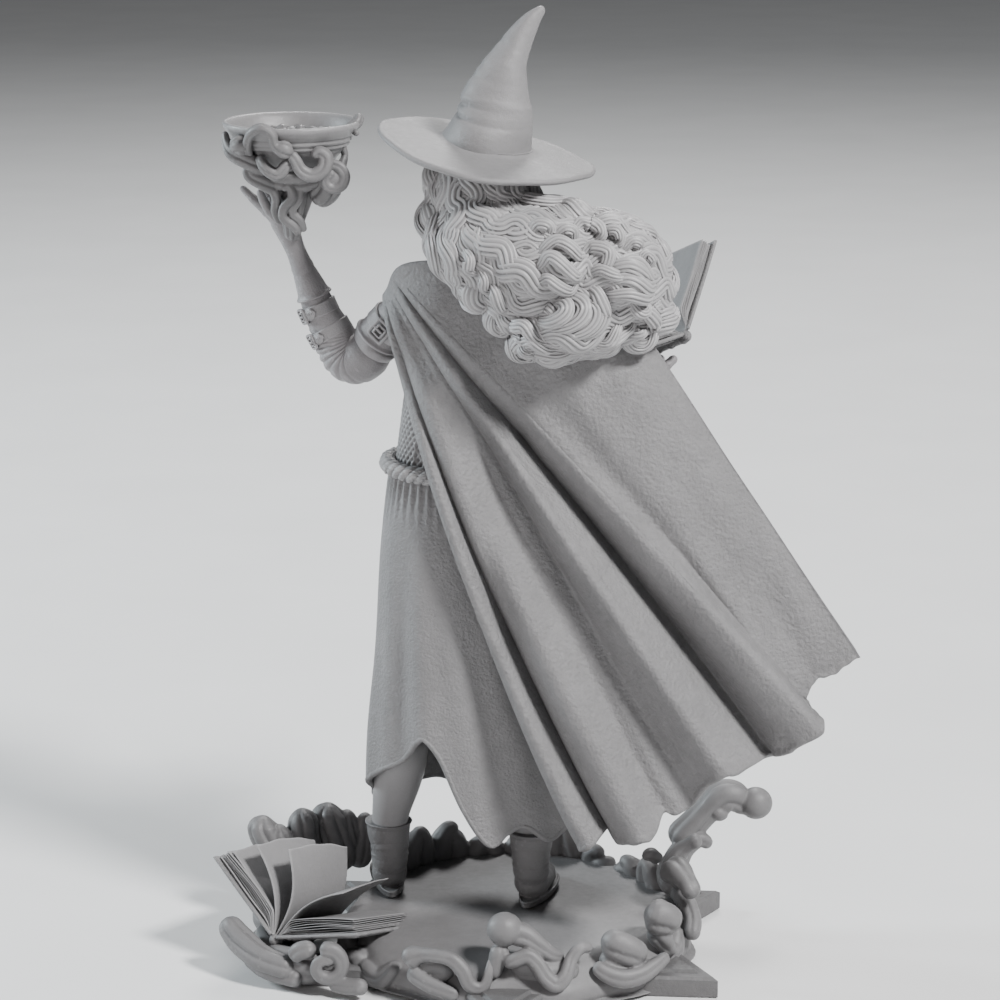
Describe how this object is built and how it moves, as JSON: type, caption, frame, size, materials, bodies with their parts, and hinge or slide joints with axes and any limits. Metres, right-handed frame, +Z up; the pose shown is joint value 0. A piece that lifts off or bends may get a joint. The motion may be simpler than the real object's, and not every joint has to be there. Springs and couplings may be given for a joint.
{
  "type": "display miniature figure",
  "caption": "Display miniature of a witch in a pointed hat and wind-blown cloak, raising a smoking bowl and holding an open book, on a star plinth with curling smoke.",
  "frame": {"origin": "middle of the plinth's flat underside", "axes": "+Z up, +Y the way the witch faces, +X to the right hand side"},
  "size_m": [0.0684, 0.0506, 0.1017],
  "materials": {
    "brass_pin": "drawn brass rod",
    "plinth": "dark grey primer on cast resin, matte",
    "paper": "grey primer on cast resin, matte",
    "book_cover": "grey primer on cast resin, matte",
    "brew": "grey primer on cast resin, matte",
    "bowl": "grey primer on cast resin, matte",
    "skin": "grey primer on cast resin, matte",
    "hat": "grey primer on cast resin, matte",
    "boot": "grey primer on cast resin, matte",
    "rope": "grey primer on cast resin, matte",
    "bodice": "grey primer on cast resin, matte",
    "skirt": "grey primer on cast resin, matte",
    "sleeve": "grey primer on cast resin, matte",
    "cloak": "grey primer on cast resin, matte",
    "clasp": "grey primer on cast resin, matte",
    "glove": "grey primer on cast resin, matte",
    "strap": "grey primer on cast resin, matte",
    "hair": "light grey primer on cast resin, satin",
    "smoke": "grey primer on cast resin, satin"
  },
  "bodies": {
    "root": {"left_foot_pin": "brass_pin", "right_foot_pin": "brass_pin", "star_plinth": "plinth", "ground_book_pages_left": "paper", "ground_book_cover_left": "book_cover", "ground_book_pages_right": "paper", "ground_book_cover_right": "book_cover", "ground_book_spine": "book_cover", "ground_book_leaf_1": "paper", "ground_book_leaf_2": "paper", "ground_book_leaf_3": "paper", "ground_book_leaf_4": "paper", "held_book_pages_left": "paper", "held_book_cover_left": "book_cover", "held_book_pages_right": "paper", "held_book_cover_right": "book_cover", "held_book_spine": "book_cover", "brew": "brew", "bowl": "bowl", "head": "skin", "neck": "skin", "hat_brim": "hat", "hat_crown": "hat", "left_boot": "boot", "right_boot": "boot", "left_leg": "skin", "right_leg": "skin", "rope_belt": "rope", "bodice": "bodice", "skirt": "skirt", "right_hand": "skin", "right_forearm": "sleeve", "right_upper_arm": "sleeve", "cloak": "cloak", "cloak_clasp": "clasp", "left_hand": "glove", "left_forearm": "glove", "left_upper_arm": "glove", "forearm_strap_upper": "strap", "forearm_strap_lower": "strap", "upper_arm_strap": "strap", "hair": "hair", "bowl_smoke_stem": "smoke", "bowl_smoke_spiral_right": "smoke", "bowl_smoke_swirl": "smoke", "bowl_smoke_loop": "smoke", "bowl_smoke_right": "smoke", "smoke_floor": "smoke", "smoke_wall_back": "smoke", "smoke_bank_left": "smoke", "smoke_knob_left": "smoke", "smoke_spiral_front_left": "smoke", "smoke_ribbon_front": "smoke", "smoke_ball_front": "smoke", "smoke_block_front_right": "smoke", "smoke_knob_front_right": "smoke", "smoke_bulbs_right": "smoke", "smoke_arm_right": "smoke", "smoke_lobe_left": "smoke", "smoke_lobe_back_left": "smoke"}
  },
  "joints": []
}
